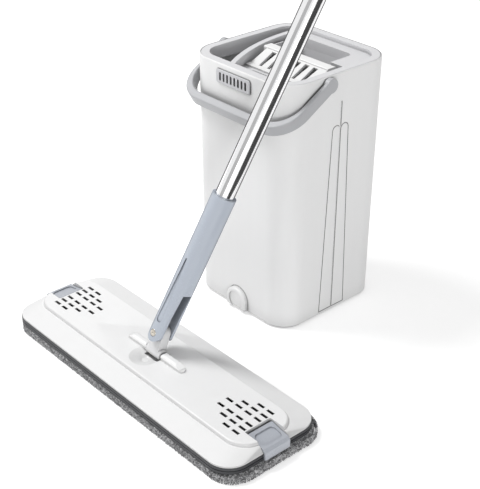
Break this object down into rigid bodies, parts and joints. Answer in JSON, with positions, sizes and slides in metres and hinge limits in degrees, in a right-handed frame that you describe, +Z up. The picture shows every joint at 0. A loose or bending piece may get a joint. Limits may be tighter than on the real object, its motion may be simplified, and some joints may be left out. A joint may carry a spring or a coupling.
{
  "type": "flat mop and wringing bucket",
  "caption": "Flat squeeze mop with a two-axis pole joint and pad clips, standing before a square bucket whose top has a wringing comb, a drying slot and a swinging bail.",
  "frame": {"origin": "centre of the bucket's base, on the floor", "axes": "+Z up, the bucket's front with the vent and drain plug faces -Y, where the mop stands; +X to the right seen from the front"},
  "size_m": [0.4285, 0.5074, 1.1087],
  "materials": {
    "bucket_white": "satin moulded polypropylene",
    "insert_white": "satin moulded polypropylene",
    "vent_grey": "fine matt moulded plastic",
    "handle_grey": "satin moulded plastic",
    "rubber_grey": "matt soft rubber",
    "head_white": "satin moulded plastic",
    "base_charcoal": "matt moulded plastic",
    "hook_black": "hook tape",
    "pad_fibre": "heather microfibre pile",
    "clip_grey": "satin moulded plastic",
    "pole_steel": "polished stainless steel",
    "pin_steel": "drawn steel wire",
    "grip_grey": "satin moulded plastic"
  },
  "bodies": {
    "bucket": {"bucket_shell": "bucket_white", "vent_grille": "vent_grey", "wringer_insert": "insert_white", "dry_chute": "insert_white", "wash_comb": "insert_white", "scraper_bar": "insert_white", "scraper_lip": "rubber_grey"},
    "bail": {"bail_handle": "handle_grey"},
    "plug": {"drain_plug": "bucket_white", "drain_seal": "rubber_grey"},
    "head": {"head_shell": "head_white", "head_base": "base_charcoal", "hook_strips": "hook_black", "mop_pad": "pad_fibre", "bearing_cap_left": "head_white", "bearing_cap_right": "head_white", "clip_pin_left": "pin_steel", "clip_pin_right": "pin_steel"},
    "left_clip": {"clip_left": "clip_grey"},
    "right_clip": {"clip_right": "clip_grey"},
    "tilt_block": {"knuckle": "head_white"},
    "pole": {"pole_socket": "clip_grey", "fork_pin": "pin_steel", "pole_lower": "pole_steel", "pole_middle": "pole_steel", "pole_upper": "pole_steel", "pole_joint_lower": "grip_grey", "pole_joint_upper": "grip_grey", "pole_grip": "grip_grey", "hang_eye": "grip_grey"}
  },
  "joints": [
    {"name": "bail_swing", "type": "hinge", "parent": "bucket", "child": "bail", "pos_m": [0, -0.024, 0.311], "axis": [-1, 0, 0], "range_deg": [0, 193]},
    {"name": "plug_pull", "type": "slide", "parent": "bucket", "child": "plug", "axis": [0, -1, -0.0095], "range_m": [0, 0.02]},
    {"name": "mop_stand", "type": "slide", "parent": "bucket", "child": "head", "axis": [0, -1, 0], "range_m": [0, 0.5]},
    {"name": "left_clip_hinge", "type": "hinge", "parent": "head", "child": "left_clip", "pos_m": [-0.1304, -0.2475, 0.0245], "axis": [0, 1, 0], "range_deg": [0, 75]},
    {"name": "right_clip_hinge", "type": "hinge", "parent": "head", "child": "right_clip", "pos_m": [0.2224, -0.2475, 0.0245], "axis": [0, -1, 0], "range_deg": [0, 75]},
    {"name": "pole_tilt", "type": "hinge", "parent": "head", "child": "tilt_block", "pos_m": [0.046, -0.2475, 0.033], "axis": [1, 0, 0], "range_deg": [-4, 72]},
    {"name": "pole_swing", "type": "hinge", "parent": "tilt_block", "child": "pole", "pos_m": [0.046, -0.23851, 0.05525], "axis": [0, 0.9272, -0.3746], "range_deg": [-90.75, 69.25]}
  ]
}
